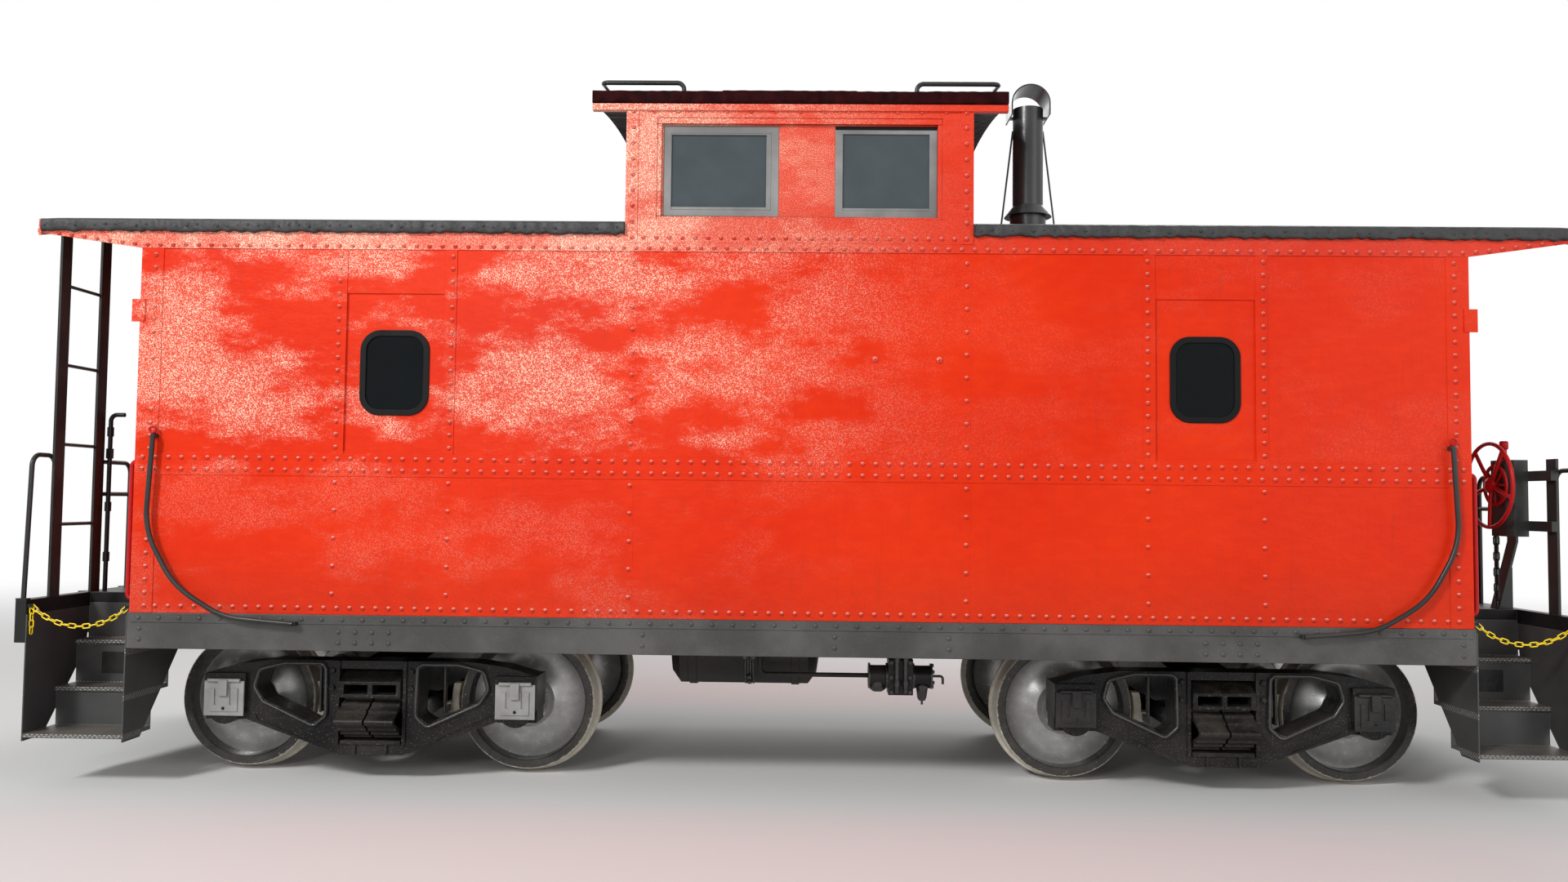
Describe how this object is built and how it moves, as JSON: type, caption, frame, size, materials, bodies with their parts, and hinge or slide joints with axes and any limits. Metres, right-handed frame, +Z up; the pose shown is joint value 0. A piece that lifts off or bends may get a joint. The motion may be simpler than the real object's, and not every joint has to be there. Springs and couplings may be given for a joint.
{
  "type": "caboose",
  "caption": "Steel caboose with centre cupola, end platforms with steps, hand brakes and ladders, on two leaf-sprung four-wheel trucks.",
  "frame": {"origin": "under the middle of the car, at the lowest points of the wheel flanges", "axes": "+X along the car, to the right of its near side; +Y across it, from the near side to the far side; +Z up"},
  "size_m": [9.76, 2.9682, 4.3268],
  "materials": {
    "axle_steel": "turned steel axle",
    "black_paint": "semi-gloss black paint",
    "bright_red_paint": "gloss red paint",
    "cast_steel": "black painted steel casting",
    "floor_wood": "worn floor boards",
    "glass": "dark window glass",
    "grey_paint": "satin grey paint on the sashes",
    "lid_steel": "silver-grey pressed steel lid",
    "maroon_paint": "dark maroon paint on the cupola roof",
    "red_paint": "brushed-on gloss orange-red paint over riveted steel",
    "roof_black": "thick black roof coating",
    "spring_steel": "black painted spring leaves",
    "steel": "bare steel",
    "wheel_steel": "dark wheel plate with a bright worn rim",
    "window_rubber": "black rubber window seal",
    "yellow_plastic": "yellow plastic chain links"
  },
  "bodies": {
    "carbody": {"air_pipes": "black_paint", "air_reservoir": "black_paint", "brake_gear": "black_paint", "centre_sill": "black_paint", "corner_handrails": "black_paint", "couplers": "cast_steel", "cross_members": "black_paint", "cupola_ends": "red_paint", "cupola_glass": "glass", "cupola_roof": "maroon_paint", "cupola_roof_rails": "black_paint", "cupola_sashes": "grey_paint", "cupola_sides": "red_paint", "door_hinges": "steel", "end_grab_irons": "red_paint", "end_platforms": "black_paint", "end_railings": "black_paint", "end_wall_a": "red_paint", "end_wall_b": "red_paint", "end_window_glass": "glass", "floor": "floor_wood", "hand_brake_stands": "black_paint", "hand_brake_wheels": "bright_red_paint", "marker_brackets": "red_paint", "roof": "roof_black", "roof_fascia": "red_paint", "roof_ladders": "black_paint", "side_grab_irons": "black_paint", "side_sills": "black_paint", "side_wall_far": "red_paint", "side_wall_near": "red_paint", "side_window_glass": "glass", "smoke_jack": "black_paint", "step_chains": "yellow_plastic", "steps": "black_paint", "uncoupling_levers": "black_paint", "window_frames": "window_rubber"},
    "truck_a": {"truck_a_bolster": "cast_steel", "truck_a_brake_beams": "cast_steel", "truck_a_journal_lids": "lid_steel", "truck_a_leaf_springs": "spring_steel", "truck_a_sideframes": "cast_steel", "truck_a_spring_plank": "cast_steel"},
    "truck_b": {"truck_b_bolster": "cast_steel", "truck_b_brake_beams": "cast_steel", "truck_b_journal_lids": "lid_steel", "truck_b_leaf_springs": "spring_steel", "truck_b_sideframes": "cast_steel", "truck_b_spring_plank": "cast_steel"},
    "wheelset_1": {"wheels_1": "wheel_steel", "axle_1": "axle_steel"},
    "wheelset_2": {"wheels_2": "wheel_steel", "axle_2": "axle_steel"},
    "wheelset_3": {"wheels_3": "wheel_steel", "axle_3": "axle_steel"},
    "wheelset_4": {"wheels_4": "wheel_steel", "axle_4": "axle_steel"},
    "door_leaf_a": {"door_a": "red_paint"},
    "door_leaf_b": {"door_b": "red_paint"}
  },
  "joints": [
    {"name": "truck_a_swivel", "type": "hinge", "parent": "carbody", "child": "truck_a", "pos_m": [-2.525, 0, 0.73], "axis": [0, 0, 1], "range_deg": [-4, 4]},
    {"name": "wheelset_1_roll", "type": "hinge", "parent": "truck_a", "child": "wheelset_1", "pos_m": [-3.395, 0, 0.445], "axis": [0, 1, 0], "continuous": true},
    {"name": "wheelset_2_roll", "type": "hinge", "parent": "truck_a", "child": "wheelset_2", "pos_m": [-1.655, 0, 0.445], "axis": [0, 1, 0], "continuous": true},
    {"name": "truck_b_swivel", "type": "hinge", "parent": "carbody", "child": "truck_b", "pos_m": [2.525, 0, 0.73], "axis": [0, 0, 1], "range_deg": [-4, 4]},
    {"name": "wheelset_3_roll", "type": "hinge", "parent": "truck_b", "child": "wheelset_3", "pos_m": [1.655, 0, 0.445], "axis": [0, 1, 0], "continuous": true},
    {"name": "wheelset_4_roll", "type": "hinge", "parent": "truck_b", "child": "wheelset_4", "pos_m": [3.395, 0, 0.445], "axis": [0, 1, 0], "continuous": true},
    {"name": "door_a_hinge", "type": "hinge", "parent": "carbody", "child": "door_leaf_a", "pos_m": [-3.76, 0.345, 2], "axis": [0, 0, 1], "range_deg": [0, 90]},
    {"name": "door_b_hinge", "type": "hinge", "parent": "carbody", "child": "door_leaf_b", "pos_m": [3.76, -0.345, 2], "axis": [0, 0, 1], "range_deg": [0, 90]}
  ]
}
